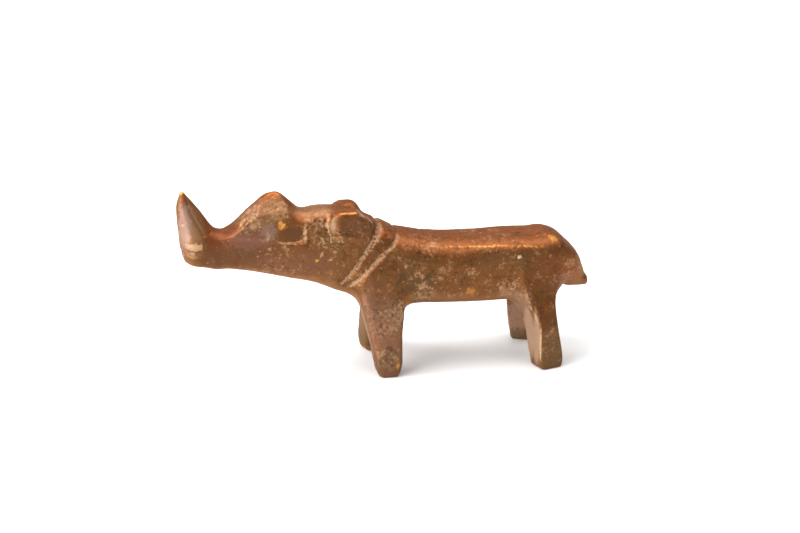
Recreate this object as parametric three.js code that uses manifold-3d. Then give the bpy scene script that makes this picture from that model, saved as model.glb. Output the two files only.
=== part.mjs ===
// A small rhinoceros of cast brass, made by the lost-wax way: rolls of wax are pressed
// together, pared flat in places with a blade, and the whole is cast as one solid piece.
// Millimetres, +Z up. The animal looks along -X and stands on Z = 0, over the middle of its length.

import * as THREE from 'three';
import { mergeVertices } from 'three/addons/utils/BufferGeometryUtils.js';
import Module from 'manifold-3d';

const wasm = await Module();
wasm.setup();

const { clamp, degToRad, lerp, mapLinear } = THREE.MathUtils;

// Length of one facet's edge: along the head, along the plainer body, and across and up
const FACET = { head: 1.05, body: 1.6, across: 1.25 };
const NECK_END = -3.3; // where the head's finer facets end
const BLOCK = { long: 80, wide: 24, high: 37, under: 4 }; // the space that the whole figure lies in
const NEAR = -1; // the side on the animal's left
const FAR = 1;

// How far wax is smeared over a joint
const JOINT = { crisp: 0.8, tight: 1.2, soft: 2.2, hollow: 3.0 };

// How squarely a roll of wax was shaped across: 2 would be oval
const SECTION = { rolled: 2.6, pared: 3.2, boxed: 4.2, square: 8, faceted: 13 };

// The far feet stand a little ahead of the near ones
const FAR_FRONT_AHEAD = 0.7;
const FAR_HIND_AHEAD = 0.8;
const FAR_FRONT_TURN = 18;
const HIND_TURN = 20;

// Neck grooves: two lines over the nape and down to the throat, in planes that lean forward
const GROOVES = [
  { x: -5.6, z: 21.6, lean: 35, radius: 0.6 },
  { x: -3.3, z: 20.8, lean: 46, radius: 0.5 },
];
const GROOVE_LIFT = 0.55; // how far the round tool's middle stays outside the wax, in radii
const GROOVE_SWEEP = 150; // degrees from the nape down each side
const GROOVE_STEPS = 27;

// Eye: a sunken rounded square with sloping walls and a floor that is deeper behind
const EYE = {
  x: -17.8, z: 27.0, halfLong: 2.8, halfHigh: 1.87, corner: 8, mouth: 4.5, floor: 3.98, lean: 0.15,
  draft: 0.7,
};

// Ear hollow: pressed in with a thumb behind the ear's front
const EAR_HOLLOW = { x: -6.6, side: 7.85, z: 27.7, long: 3.6, deep: 2.6, high: 3.1 };

// Soles: each foot is rounded over at the edge and ends a little below the floor, where it is filed flat
const SOLE_LEVEL = -0.15;
const SOLE_EDGE = 1.2;

// Colour and finish of old, handled brass
const BRASS_COLOUR = 0x7b5132;
const BRASS_ROUGHNESS = 0.45;
const BRASS_METALNESS = 1.0;

// One place along a roll of wax: where its middle is, and its half sizes sideways and across
function station(x, y, z, side, deep) {
  return { centre: new THREE.Vector3(x, y, z), side, deep };
}

// A flat cut by a blade, on both sides of the figure alike, through x, side and z. Its outward
// direction is turned so many degrees from straight ahead to the side, and its slope is from
// level: 90 is upright, and more faces down.
function cut(x, side, z, turn, slope) {
  return { x, side, z, turn: degToRad(turn), slope: degToRad(slope) };
}

const DOWN = 180;

// The back and belly, from the shoulders to the rump, whose rear corners are pared off
const TRUNK = [
  station(3.5, 0, 18.3, 6.3, 6.2),
  station(7.0, 0, 18.2, 6.7, 6.35),
  station(11.0, 0, 17.95, 6.8, 6.15),
  station(17.5, 0, 17.85, 6.8, 6.05),
  station(22.5, 0, 17.95, 6.8, 6.0),
  station(27.9, 0, 17.75, 6.5, 6.0),
];
const RUMP_CUT = cut(31.0, 6.3, 0, 128, 90);
const RUMP_EDGE = 1.6;

// Neck and head are one beam that narrows to the muzzle
const HEAD = [
  station(1.5, 0, 18.75, 6.3, 6.65),
  station(-3.0, 0, 20.5, 5.8, 7.3),
  station(-8.0, 0, 22.35, 5.3, 7.5),
  station(-12.5, 0, 23.7, 4.8, 7.0),
  station(-18.0, 0, 23.95, 4.6, 5.9),
  station(-24.0, 0, 23.95, 4.0, 4.5),
  station(-30.0, 0, 23.8, 3.3, 3.35),
  station(-33.4, 0, 24.1, 2.7, 2.65),
];

// The nose horn rises from the blunt front of the muzzle, pared in line with the jaw below
const NOSE_HORN = [
  station(-33.8, 0, 22.2, 2.6, 2.85),
  station(-34.2, 0, 24.0, 2.85, 2.95),
  station(-34.7, 0, 26.0, 2.85, 3.0),
  station(-35.2, 0, 28.2, 2.55, 2.8),
  station(-36.0, 0, 30.6, 1.95, 2.15),
  station(-36.65, 0, 32.5, 1.35, 1.45),
  station(-36.9, 0, 33.7, 0.8, 0.85),
  station(-36.95, 0, 34.2, 0.5, 0.55),
];
const HORN_FACET = 0.71; // pares a square section to eight sides
const JAW_CUT = cut(-36.5, 0, 21.9, 0, DOWN - 2.9);
const JAW_EDGE = 0.25;

// The rump runs down into a short tail, level underneath and pared below on both sides
const TAIL = [
  station(29.8, 0, 19.5, 6.0, 4.55),
  station(33.3, 0, 17.2, 4.6, 3.6),
  station(35.4, 0, 14.95, 3.0, 2.45),
  station(36.2, 0, 13.9, 2.3, 1.95),
];
const TAIL_UNDERSIDE = 12.95;
const TAIL_CUTS = [cut(0, 0, TAIL_UNDERSIDE, 0, DOWN), cut(0, 1.1, TAIL_UNDERSIDE, 90, 132)];
const TAIL_EDGE = 0.3;

// Brow horn: a blunt point pared on all sides
const BROW = { x: -20.3, z: 34.15, foot: 26.8, halfWidth: 3.5 };
const BROW_CUTS = [
  cut(BROW.x, 0, BROW.z + 0.85, 0, 38),
  cut(BROW.x, 0, BROW.z + 2.97, 0, 50),
  cut(BROW.x, 0, BROW.z + 1.4, 30, 45),
  cut(BROW.x, 0, BROW.z + 0.35, 90, 49),
  cut(BROW.x, 0, BROW.z + 1.0, 135, 49.6),
  cut(BROW.x, 0, BROW.z + 0.4, 180, 43),
  cut(BROW.x, BROW.halfWidth, 0, 90, 90),
  cut(0, 0, BROW.foot, 0, DOWN),
];
const BROW_CREST_CUTS = [
  cut(BROW.x, 0, BROW.z, 0, 18),
  cut(BROW.x, 0, BROW.z, 90, 22),
  cut(BROW.x, 0, BROW.z, 180, 25),
];
const BROW_EDGE = 0.3;

// Ears: pinched out of the wax at the corners of the head, pared in front and on top
const EARS = [
  {
    stations: [
      station(-8.3, -4.0, 28.3, 1.9, 2.75),
      station(-6.9, -3.9, 28.4, 1.9, 2.7),
      station(-5.4, -3.8, 27.5, 1.7, 2.3),
    ],
    cuts: [cut(-9.7, 5.8, 0, 53, 90), cut(0, 0, 30.95, 0, 0)],
  },
  {
    stations: [station(-7.3, 4.2, 27.6, 1.8, 2.75), station(-6.7, 4.2, 27.6, 1.9, 2.75)],
    cuts: [cut(-9.0, 5.8, 0, 53, 90), cut(0, 0, 30.1, 0, 0), cut(-7.9, 0, 30.1, 0, 30)],
  },
];
const EAR_EDGE = 0.25;

function frontLeg(sign, ahead) {
  return [
    station(-1.7 + ahead, sign * 4.0, 16.0, 3.0, 4.4 - ahead),
    station(-1.5 + ahead, sign * 5.4, 12.5, 2.8, 4.0 - ahead),
    station(-1.15 + 0.4 * ahead, sign * 6.4, 7.0, 2.5, 3.0 - 0.4 * ahead),
    station(-0.8 - 0.6 * ahead, sign * 7.0, 2.6, 2.4, 2.55),
    station(-0.75 - 0.6 * ahead, sign * 7.2, 0.9, 2.25, 2.2 + 0.3 * ahead),
    station(-0.8 - 0.6 * ahead, sign * 7.2, 0, 2.05, 2.0 + 0.3 * ahead),
  ];
}

function hindLeg(sign, ahead) {
  return [
    station(26.8, sign * 3.6, 16.0, 3.0, 3.6),
    station(27.2, sign * 5.6, 12.0, 2.6, 3.0),
    station(27.85 - ahead, sign * 7.3, 8.3, 2.7, 2.2),
    station(28.4 - ahead, sign * 7.6, 4.4, 2.45, 2.4),
    station(28.85 - ahead, sign * 7.75, 1.7, 2.3, 2.4),
    station(28.9 - ahead, sign * 7.8, 0, 2.25, 2.35),
  ];
}

// A roll of wax that runs smoothly through its stations, and squarer or rounder towards its end.
// facet pares its corners flat, and turn is how many degrees its sides are turned about the upright.
class WaxRoll {
  constructor(stations, section, { endSection = section, facet = 0, turn = 0 } = {}) {
    this.sections = [section, endSection];
    this.facet = facet;
    this.rows = WaxRoll.smoothRows(stations);
    this.first = this.rows[0];
    this.last = this.rows[this.rows.length - 1];
    this.axis = this.last.centre.clone().sub(this.first.centre).normalize();
    this.sideways = new THREE.Vector3(-Math.sin(degToRad(turn)), Math.cos(degToRad(turn)), 0);
    this.sideways.addScaledVector(this.axis, -this.axis.dot(this.sideways)).normalize();
    this.upright = this.axis.clone().cross(this.sideways);
    for (const row of this.rows) {
      row.along = row.centre.dot(this.axis);
    }
  }

  static smoothRows(stations) {
    const rowsPerSpan = 8;
    const spine = new THREE.CatmullRomCurve3(stations.map((s) => s.centre), false, 'catmullrom', 0.5);
    const sizes = new THREE.CatmullRomCurve3(
      stations.map((s) => new THREE.Vector3(s.side, s.deep, 0)), false, 'catmullrom', 0.5,
    );
    const count = (stations.length - 1) * rowsPerSpan;
    return Array.from({ length: count + 1 }, (_, i) => {
      const size = sizes.getPoint(i / count);
      return { centre: spine.getPoint(i / count), side: size.x, deep: size.y };
    });
  }

  // The roll's middle and half sizes where it passes a place along its axis
  rowAt(place) {
    let next = 1;
    while (next < this.rows.length - 1 && this.rows[next].along < place) {
      next += 1;
    }
    const from = this.rows[next - 1];
    const to = this.rows[next];
    const share = mapLinear(place, from.along, to.along, 0, 1);
    return {
      centre: from.centre.clone().lerp(to.centre, share),
      side: lerp(from.side, to.side, share),
      deep: lerp(from.deep, to.deep, share),
    };
  }

  // The section's outline through a place, as a multiple of the roll's own
  scaleAt(across, down, power) {
    const corner = this.facet * (across + down);
    return (across ** power + down ** power + corner ** power) ** (1 / power);
  }

  distance(p) {
    const along = p.dot(this.axis);
    const place = clamp(along, this.first.along, this.last.along);
    const row = this.rowAt(place);
    const offset = p.clone().sub(row.centre);
    const across = Math.abs(offset.dot(this.sideways));
    const down = Math.hypot(offset.dot(this.upright), along - place);
    const power = mapLinear(place, this.first.along, this.last.along, ...this.sections);
    const scale = Math.max(this.scaleAt(across / row.side, down / row.deep, power), 1e-3);
    return Math.hypot(across, down) * (1 - 1 / scale);
  }
}

// Two forms pressed together with the wax smeared over the joint
function press(a, b, joint) {
  const overlap = Math.max(joint - Math.abs(a - b), 0);
  return Math.min(a, b) - (overlap * overlap) / (4 * joint);
}

// How far a point lies in front of a cut
function beyond(p, { x, side, z, turn, slope }) {
  const outward = (x - p.x) * Math.cos(turn) + (Math.abs(p.y) - side) * Math.sin(turn);
  return outward * Math.sin(slope) + (p.z - z) * Math.cos(slope);
}

// What the cuts leave of a form, with the edges between them rounded over
function pare(form, p, cuts, edge) {
  return cuts.reduce((left, face) => -press(-left, -beyond(p, face), edge), form);
}

const trunk = new WaxRoll(TRUNK, SECTION.rolled, { endSection: SECTION.boxed });
const rolls = [
  new WaxRoll(HEAD, SECTION.pared),
  new WaxRoll(frontLeg(NEAR, 0), SECTION.boxed),
  new WaxRoll(frontLeg(FAR, FAR_FRONT_AHEAD), SECTION.boxed, { turn: FAR_FRONT_TURN }),
  new WaxRoll(hindLeg(NEAR, 0), SECTION.square, { turn: HIND_TURN }),
  new WaxRoll(hindLeg(FAR, FAR_HIND_AHEAD), SECTION.square, { turn: -HIND_TURN }),
];
const noseHorn = new WaxRoll(NOSE_HORN, SECTION.faceted, { facet: HORN_FACET });
const ears = EARS.map(({ stations, cuts }) => ({ roll: new WaxRoll(stations, SECTION.boxed), cuts }));
const tail = new WaxRoll(TAIL, SECTION.pared);

// Height above the wax surface: negative inside the casting
function waxDistance(p) {
  let wax = pare(trunk.distance(p), p, [RUMP_CUT], RUMP_EDGE);
  for (const roll of rolls) {
    wax = press(wax, roll.distance(p), JOINT.soft);
  }
  wax = press(wax, pare(noseHorn.distance(p), p, [JAW_CUT], JAW_EDGE), JOINT.hollow);
  const [firstCut, ...otherCuts] = [...BROW_CREST_CUTS, ...BROW_CUTS];
  wax = press(wax, pare(beyond(p, firstCut), p, otherCuts, BROW_EDGE), JOINT.tight);
  for (const { roll, cuts } of ears) {
    wax = press(wax, pare(roll.distance(p), p, cuts, EAR_EDGE), JOINT.crisp);
  }
  wax = press(wax, pare(tail.distance(p), p, TAIL_CUTS, TAIL_EDGE), JOINT.tight);
  return pare(wax, p, [cut(0, 0, SOLE_LEVEL, 0, DOWN)], SOLE_EDGE);
}

function gradient(p) {
  const step = 0.02;
  const g = new THREE.Vector3();
  for (const axis of ['x', 'y', 'z']) {
    const ahead = p.clone();
    const behind = p.clone();
    ahead[axis] += step;
    behind[axis] -= step;
    g[axis] = (waxDistance(ahead) - waxDistance(behind)) / (2 * step);
  }
  return g;
}

// The corner of a facet: the point that lies best on the surface's tangents at every crossing,
// so that an edge pared by a blade stays an edge
function facetCorner(crossings) {
  const pull = 0.08; // how strongly a corner is held to the middle of its crossings
  const reach = 0.6 * FACET.across;
  const middle = new THREE.Vector3();
  crossings.forEach((crossing) => middle.addScaledVector(crossing, 1 / crossings.length));
  const sums = [pull, 0, 0, 0, pull, 0, 0, 0, pull];
  const target = new THREE.Vector3();
  for (const crossing of crossings) {
    const normal = gradient(crossing).normalize();
    const n = normal.toArray();
    for (let row = 0; row < 3; row += 1) {
      for (let column = 0; column < 3; column += 1) {
        sums[row * 3 + column] += n[row] * n[column];
      }
    }
    target.addScaledVector(normal, normal.dot(crossing.clone().sub(middle)));
  }
  const offset = target.applyMatrix3(new THREE.Matrix3().fromArray(sums).invert());
  return middle.add(offset.clampLength(0, reach));
}

function gridLines(from, to, size) {
  const count = Math.ceil((to - from) / size);
  return Array.from({ length: count + 1 }, (_, i) => from + ((to - from) * i) / count);
}

// Facets the smooth wax form: one corner in each grid cell that the surface crosses,
// and one four-cornered facet across each grid edge that it crosses.
function facetWax(lines) {
  const [xs, ys, zs] = lines;
  const nodeAt = (i, j, k) => (i * ys.length + j) * zs.length + k;
  const place = (i, j, k) => new THREE.Vector3(xs[i], ys[j], zs[k]);
  const values = new Float64Array(xs.length * ys.length * zs.length);
  for (let i = 0; i < xs.length; i += 1) {
    for (let j = 0; j < ys.length; j += 1) {
      for (let k = 0; k < zs.length; k += 1) {
        values[nodeAt(i, j, k)] = waxDistance(place(i, j, k));
      }
    }
  }
  const positions = [];
  const cornerOf = new Map();
  const cornerIn = (i, j, k) => {
    const key = nodeAt(i, j, k);
    if (!cornerOf.has(key)) {
      cornerOf.set(key, positions.length);
      positions.push(facetCorner(cellCrossings(values, nodeAt, place, i, j, k)));
    }
    return cornerOf.get(key);
  };
  const triangles = [];
  const addFacet = (corners, flip) => {
    const [a, b, c, d] = flip ? [...corners].reverse() : corners;
    if (positions[a].distanceTo(positions[c]) < positions[b].distanceTo(positions[d])) {
      triangles.push(a, b, c, a, c, d);
    } else {
      triangles.push(a, b, d, b, c, d);
    }
  };
  const cellsAround = [[-1, -1], [0, -1], [0, 0], [-1, 0]];
  const facetAcross = (node, axis) => {
    const next = [...node];
    next[axis] += 1;
    const inside = values[nodeAt(...node)] < 0;
    if (inside === values[nodeAt(...next)] < 0) {
      return;
    }
    const corners = cellsAround.map(([first, second]) => {
      const cell = [...node];
      cell[(axis + 1) % 3] += first;
      cell[(axis + 2) % 3] += second;
      return cornerIn(...cell);
    });
    addFacet(corners, !inside);
  };
  for (let i = 1; i < xs.length - 1; i += 1) {
    for (let j = 1; j < ys.length - 1; j += 1) {
      for (let k = 1; k < zs.length - 1; k += 1) {
        [0, 1, 2].forEach((axis) => facetAcross([i, j, k], axis));
      }
    }
  }
  const geometry = new THREE.BufferGeometry();
  const coordinates = positions.flatMap((p) => p.toArray());
  geometry.setAttribute('position', new THREE.Float32BufferAttribute(coordinates, 3));
  geometry.setIndex(triangles);
  return geometry;
}

// The points where the cell's twelve edges cross the surface
function cellCrossings(values, nodeAt, place, i, j, k) {
  const crossings = [];
  for (let axis = 0; axis < 3; axis += 1) {
    for (let corner = 0; corner < 4; corner += 1) {
      const step = [corner % 2, corner >> 1];
      step.splice(axis, 0, 0);
      const from = [i + step[0], j + step[1], k + step[2]];
      const to = [...from];
      to[axis] += 1;
      const here = values[nodeAt(...from)];
      const there = values[nodeAt(...to)];
      if (here < 0 !== there < 0) {
        crossings.push(place(...from).lerp(place(...to), here / (here - there)));
      }
    }
  }
  return crossings;
}

function toSolid(geometry) {
  const bare = geometry.clone();
  bare.deleteAttribute('normal');
  bare.deleteAttribute('uv');
  const merged = mergeVertices(bare, 1e-4);
  return new wasm.Manifold(new wasm.Mesh({
    numProp: 3,
    vertProperties: new Float32Array(merged.attributes.position.array),
    triVerts: new Uint32Array(merged.index.array),
  }));
}

function toGeometry(solid) {
  const mesh = solid.getMesh();
  const geometry = new THREE.BufferGeometry();
  geometry.setAttribute('position', new THREE.Float32BufferAttribute(mesh.vertProperties, 3));
  geometry.setIndex(Array.from(mesh.triVerts));
  geometry.computeVertexNormals();
  return geometry;
}

// Sets the middle of the figure's length and width over the origin
function overOrigin(geometry) {
  geometry.computeBoundingBox();
  const middle = geometry.boundingBox.getCenter(new THREE.Vector3());
  return geometry.translate(-middle.x, -middle.y, 0);
}

function roundedSquare(angle, corner) {
  const across = Math.cos(angle);
  const up = Math.sin(angle);
  const size = (Math.abs(across) ** corner + Math.abs(up) ** corner) ** (-1 / corner);
  return [across * size, up * size];
}

// A block with the eye's shape: straight outside the mouth, and narrowing from there to the floor
function eyeBlock(sign) {
  const { x, z, halfLong, halfHigh, corner, mouth, floor, lean, draft } = EYE;
  const block = new THREE.CylinderGeometry(1, 1, 2, 24, 2);
  const places = block.attributes.position;
  const outside = mouth + 3;
  const narrowing = draft / halfHigh;
  for (let i = 0; i < places.count; i += 1) {
    const [long, high] = roundedSquare(Math.atan2(places.getZ(i), places.getX(i)), corner);
    const rim = Math.hypot(places.getX(i), places.getZ(i)) > 0.5 ? 1 : 0;
    const atFloor = places.getY(i) < -0.5;
    const scale = atFloor ? (1 - narrowing * (mouth - floor)) / (1 + narrowing * lean * long * halfLong) : 1;
    const acrossX = rim * scale * long * halfLong;
    const depthY = atFloor ? floor - lean * acrossX : lerp(mouth, outside, places.getY(i));
    places.setXYZ(i, acrossX, depthY, rim * scale * high * halfHigh);
  }
  if (sign === NEAR) {
    block.rotateX(Math.PI);
  }
  return toSolid(block.translate(x, 0, z));
}

function earHollow(sign) {
  const { x, side, z, long, deep, high } = EAR_HOLLOW;
  const thumb = new THREE.SphereGeometry(1, 20, 14);
  thumb.scale(long, deep, high);
  thumb.translate(x, sign * side, z);
  return toSolid(thumb);
}

// Walks outwards from the middle of the neck until it leaves the wax
function surfaceAlong(start, direction) {
  const strides = 60;
  const caution = 0.8;
  let reach = 0;
  for (let i = 0; i < strides; i += 1) {
    reach -= caution * waxDistance(start.clone().addScaledVector(direction, reach));
  }
  return start.clone().addScaledVector(direction, reach);
}

function grooveCut({ x, z, lean, radius }) {
  const middle = new THREE.Vector3(x, 0, z);
  const up = new THREE.Vector3(Math.sin(degToRad(lean)), 0, Math.cos(degToRad(lean)));
  const sideways = new THREE.Vector3(0, 1, 0);
  const sweep = degToRad(GROOVE_SWEEP);
  const points = [];
  for (let i = 0; i <= GROOVE_STEPS; i += 1) {
    const angle = -sweep + (2 * sweep * i) / GROOVE_STEPS;
    const direction = up.clone().multiplyScalar(Math.cos(angle)).addScaledVector(sideways, Math.sin(angle));
    const place = surfaceAlong(middle, direction);
    points.push(place.addScaledVector(direction, GROOVE_LIFT * radius));
  }
  const section = new THREE.Shape();
  section.absarc(0, 0, radius, 0, Math.PI * 2);
  const geometry = new THREE.ExtrudeGeometry(section, {
    steps: GROOVE_STEPS,
    curveSegments: 4,
    bevelEnabled: false,
    extrudePath: new THREE.CatmullRomCurve3(points),
  });
  return toSolid(geometry);
}

// What lies under Z = 0 is filed away, which leaves each foot a flat sole
function floorCut() {
  const geometry = new THREE.BoxGeometry(BLOCK.long, BLOCK.wide, BLOCK.under);
  geometry.translate(0, 0, -BLOCK.under / 2);
  return toSolid(geometry);
}

function makeRhinoceros() {
  const headLines = gridLines(-BLOCK.long / 2, NECK_END, FACET.head);
  const bodyLines = gridLines(NECK_END, BLOCK.long / 2, FACET.body).slice(1);
  const wax = facetWax([
    [...headLines, ...bodyLines],
    gridLines(-BLOCK.wide / 2, BLOCK.wide / 2, FACET.across),
    gridLines(-BLOCK.under, BLOCK.high, FACET.across),
  ]);
  const cuts = [
    ...[NEAR, FAR].flatMap((sign) => [eyeBlock(sign), earHollow(sign)]),
    ...GROOVES.map(grooveCut),
    floorCut(),
  ];
  const solid = cuts.reduce((left, tool) => left.subtract(tool), toSolid(wax));
  const material = new THREE.MeshStandardMaterial({
    color: BRASS_COLOUR,
    roughness: BRASS_ROUGHNESS,
    metalness: BRASS_METALNESS,
  });
  const mesh = new THREE.Mesh(overOrigin(toGeometry(solid)), material);
  mesh.name = 'rhinoceros';
  return mesh;
}

const figurine = new THREE.Group();
figurine.add(makeRhinoceros());

export default figurine;
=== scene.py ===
"""Dresses a small cast-brass rhinoceros: its worked wax form, its cast skin and its old patina.

The figure is one lost-wax casting, so it is one piece. Its form is worked out in millimetres
as rolls of wax pressed together, pared with a blade and cut with a tool, then laid exactly over
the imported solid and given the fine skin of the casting.
"""

from __future__ import annotations

import logging
import math
from dataclasses import dataclass, field
from enum import Enum

import bpy
import numpy as np
from bpy.types import Material, Node, NodeOutputs, NodeSocket, NodeTree, Object
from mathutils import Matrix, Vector


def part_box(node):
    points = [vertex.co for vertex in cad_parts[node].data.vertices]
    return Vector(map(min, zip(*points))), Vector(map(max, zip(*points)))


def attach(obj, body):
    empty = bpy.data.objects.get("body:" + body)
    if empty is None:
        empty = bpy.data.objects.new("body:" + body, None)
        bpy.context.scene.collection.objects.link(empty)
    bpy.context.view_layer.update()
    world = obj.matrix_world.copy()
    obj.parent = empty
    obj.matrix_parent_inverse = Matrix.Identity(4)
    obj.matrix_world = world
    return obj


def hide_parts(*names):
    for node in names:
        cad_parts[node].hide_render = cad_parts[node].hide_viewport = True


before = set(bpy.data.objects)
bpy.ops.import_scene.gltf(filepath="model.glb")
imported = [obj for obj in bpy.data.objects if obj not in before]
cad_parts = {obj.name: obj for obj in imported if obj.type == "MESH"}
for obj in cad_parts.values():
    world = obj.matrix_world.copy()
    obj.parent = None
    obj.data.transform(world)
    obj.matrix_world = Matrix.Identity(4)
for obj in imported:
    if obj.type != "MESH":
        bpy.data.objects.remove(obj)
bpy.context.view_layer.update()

LOG = logging.getLogger("rhinoceros")
NODE = "rhinoceros"
BODY = "root"
MM = 0.001

# The animal's left side, which faces the camera, and its right side
NEAR = -1.0
FAR = 1.0

# The slope of a cut that faces straight down, in degrees
DOWN = 180.0

# Stand for distances that are too large to matter, in millimetres
FAR_AWAY = 9.0
UNWORKED = 6.0

# Places in millimetres, one to a row
Places = np.ndarray

# A place or a size along X, Y and Z, and where something starts and ends
Triple = tuple[float, float, float]
Span = tuple[float, float]


class Section(Enum):
    """How a roll of wax was shaped across: the value is the exponent of its outline."""

    ROLLED = 2.6
    PARED = 3.2
    BOXED = 4.2
    SQUARE = 8.0
    FACETED = 13.0


def outline(
    across: np.ndarray, down: np.ndarray, power: np.ndarray | float, facet: float = 0.0
) -> np.ndarray:
    """Measures places in a section, by shares of its half sizes: 1 on its outline, less inside."""
    total = across**power + down**power + (facet * (across + down)) ** power
    return total ** (1.0 / power)


class Joint(Enum):
    """How far the wax is smeared over a joint, in millimetres."""

    CRISP = 0.8
    TIGHT = 1.2
    SOFT = 2.2
    HOLLOW = 3.0


def press(one: np.ndarray, other: np.ndarray, joint: float) -> np.ndarray:
    """Presses two forms together and smears the wax as far as joint over where they meet."""
    overlap = np.maximum(joint - np.abs(one - other), 0.0)
    return np.minimum(one, other) - overlap * overlap / (4.0 * joint)


def pare(one: np.ndarray, other: np.ndarray, edge: float) -> np.ndarray:
    """Keeps what lies in both forms, with the edge between them rounded over by edge millimetres."""
    return -press(-one, -other, edge)


def fade(value: np.ndarray, start: float, end: float) -> np.ndarray:
    """Runs smoothly from 0 at start to 1 at end."""
    t = np.clip((value - start) / (end - start), 0.0, 1.0)
    return t * t * (3.0 - 2.0 * t)


def near_box(points: Places, corners: np.ndarray, margin: float) -> np.ndarray:
    """Tells which points lie within margin of the smallest box round the corners."""
    low, high = np.min(corners, axis=0) - margin, np.max(corners, axis=0) + margin
    return np.all((points > low) & (points < high), axis=1)


def to_near_side(points: Places) -> np.ndarray:
    """Mirrors the points of the far side onto the near one."""
    return np.column_stack([points[:, 0], -np.abs(points[:, 1]), points[:, 2]])


def path_gap(points: Places, path: tuple[tuple[float, ...], ...]) -> np.ndarray:
    """Measures how far each point lies from a path of straight lines.

    Args:
        points: the places.
        path: the path's corners.

    Returns:
        One distance for each place, or FAR_AWAY where it is more than a millimetre.
    """
    reach = 1.0
    gap = np.full(len(points), FAR_AWAY)
    for start, end in zip(path[:-1], path[1:]):
        close = near_box(points, (start, end), reach)
        along = np.subtract(end, start)
        offset = points[close] - start
        share = np.clip(offset @ along / (along @ along), 0.0, 1.0)
        here = np.linalg.norm(offset - share[:, None] * along, axis=1)
        gap[close] = np.minimum(gap[close], here)
    return gap


def tremor(points: Places, wavelength: float, phase: float) -> np.ndarray:
    """Gives the unsteadiness of a hand: a smooth wave in -1 to 1 over the casting.

    Args:
        points: the places.
        wavelength: distance from crest to crest, in millimetres.
        phase: shifts the wave, so that two marks differ.

    Returns:
        One value for each place.
    """
    turn = 2.0 * math.pi / wavelength
    x, y, z = points.T * turn
    first = np.sin(x * 0.83 + z * 0.61 + phase) * np.sin(y * 0.97 - z * 0.53 + 2.1 * phase)
    second = np.sin(y * 0.71 + x * 0.44 - 1.3 * phase) * np.sin(z * 0.92 - x * 0.37 + phase)
    return 0.5 * (first + second)


def gather(numbers: np.ndarray, rows: np.ndarray, count: int) -> np.ndarray:
    """Adds up the rows that have the same number, one sum for each number up to count."""
    return np.stack([np.bincount(numbers, column, count) for column in rows.T], axis=1)


@dataclass(frozen=True)
class Cut:
    """A flat cut by a blade, the same on both sides of the figure, through x, side and z.

    It faces turn degrees from straight ahead to the side, and slopes so many degrees from level:
    90 is upright, and more faces down.
    """

    x: float
    side: float
    z: float
    turn: float
    slope: float

    def beyond(self, points: Places) -> np.ndarray:
        """Measures how far each point lies in front of the cut.

        Args:
            points: the places.

        Returns:
            One distance for each place, negative behind the cut.
        """
        turn = math.radians(self.turn)
        slope = math.radians(self.slope)
        ahead = (self.x - points[:, 0]) * math.cos(turn)
        outward = ahead + (np.abs(points[:, 1]) - self.side) * math.sin(turn)
        return outward * math.sin(slope) + (points[:, 2] - self.z) * math.cos(slope)


def pare_off(form: np.ndarray, points: Places, cuts: tuple[Cut, ...], edge: float) -> np.ndarray:
    """Pares flat cuts off a form.

    Args:
        form: distances to the form that is cut.
        points: the places where they were measured.
        cuts: the cuts, in order.
        edge: how far each edge is rounded over, in millimetres.

    Returns:
        The distances to what is left.
    """
    for cut in cuts:
        form = pare(form, cut.beyond(points), edge)
    return form


@dataclass(frozen=True)
class WaxRoll:
    """A roll of wax that runs smoothly through its stations.

    A station is a place, x, y and z, and the roll's half sizes there, sideways and across, in
    millimetres. The cuts pare the roll before it is pressed on.
    """

    stations: tuple[tuple[float, float, float, float, float], ...]
    section: Section
    joint: Joint = Joint.SOFT
    turn: float = 0.0
    end_section: Section | None = None
    facet: float = 0.0
    cuts: tuple[Cut, ...] = ()
    edge: float = 0.25
    steps: int = 12
    spare: float = 2.0

    def path(self) -> np.ndarray:
        """Smooths the stations with a Catmull-Rom spline.

        Returns:
            The smoothed stations, one to a row.
        """
        rows = np.array(self.stations)
        before = 2.0 * rows[0] - rows[1]
        after = 2.0 * rows[-1] - rows[-2]
        knots = np.vstack([before, rows, after])
        t = np.arange(self.steps)[:, None] / self.steps
        path = []
        for span in range(len(rows) - 1):
            a, b, c, d = knots[span : span + 4]
            bend = (2.0 * a - 5.0 * b + 4.0 * c - d) * t * t
            swing = (3.0 * b - a - 3.0 * c + d) * t * t * t
            path.append(0.5 * (2.0 * b + (c - a) * t + bend + swing))
        return np.vstack([*path, rows[-1:]])

    def distance(self, points: Places) -> np.ndarray:
        """Measures each point's distance to the roll, negative inside.

        Args:
            points: the places.

        Returns:
            One distance for each place.
        """
        path = self.path()
        axis = path[-1, :3] - path[0, :3]
        axis /= np.linalg.norm(axis)
        angle = math.radians(self.turn)
        sideways = np.array([-math.sin(angle), math.cos(angle), 0.0])
        sideways -= axis * (axis @ sideways)
        sideways /= np.linalg.norm(sideways)
        upright = np.cross(axis, sideways)
        along = path[:, :3] @ axis
        place = points @ axis
        rows = [np.interp(place, along, path[:, column]) for column in range(5)]
        offset = points - np.stack(rows[:3], axis=1)
        across = np.abs(offset @ sideways)
        down = np.hypot(offset @ upright, place - np.clip(place, along[0], along[-1]))
        start_power = self.section.value
        end_power = (self.end_section or self.section).value
        power = np.interp(place, (along[0], along[-1]), (start_power, end_power))
        # The scale is 0 at the middle of the roll, and is divided by
        scale = np.maximum(outline(across / rows[3], down / rows[4], power, self.facet), 1e-3)
        form = np.hypot(across, down) * (1.0 - 1.0 / scale)
        return pare_off(form, points, self.cuts, self.edge)

    def reaches(self, points: Places) -> np.ndarray:
        """Tells which points the roll and its joint may reach."""
        path = self.path()
        return near_box(points, path[:, :3], path[:, 3:].max() + self.joint.value + self.spare)


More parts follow.
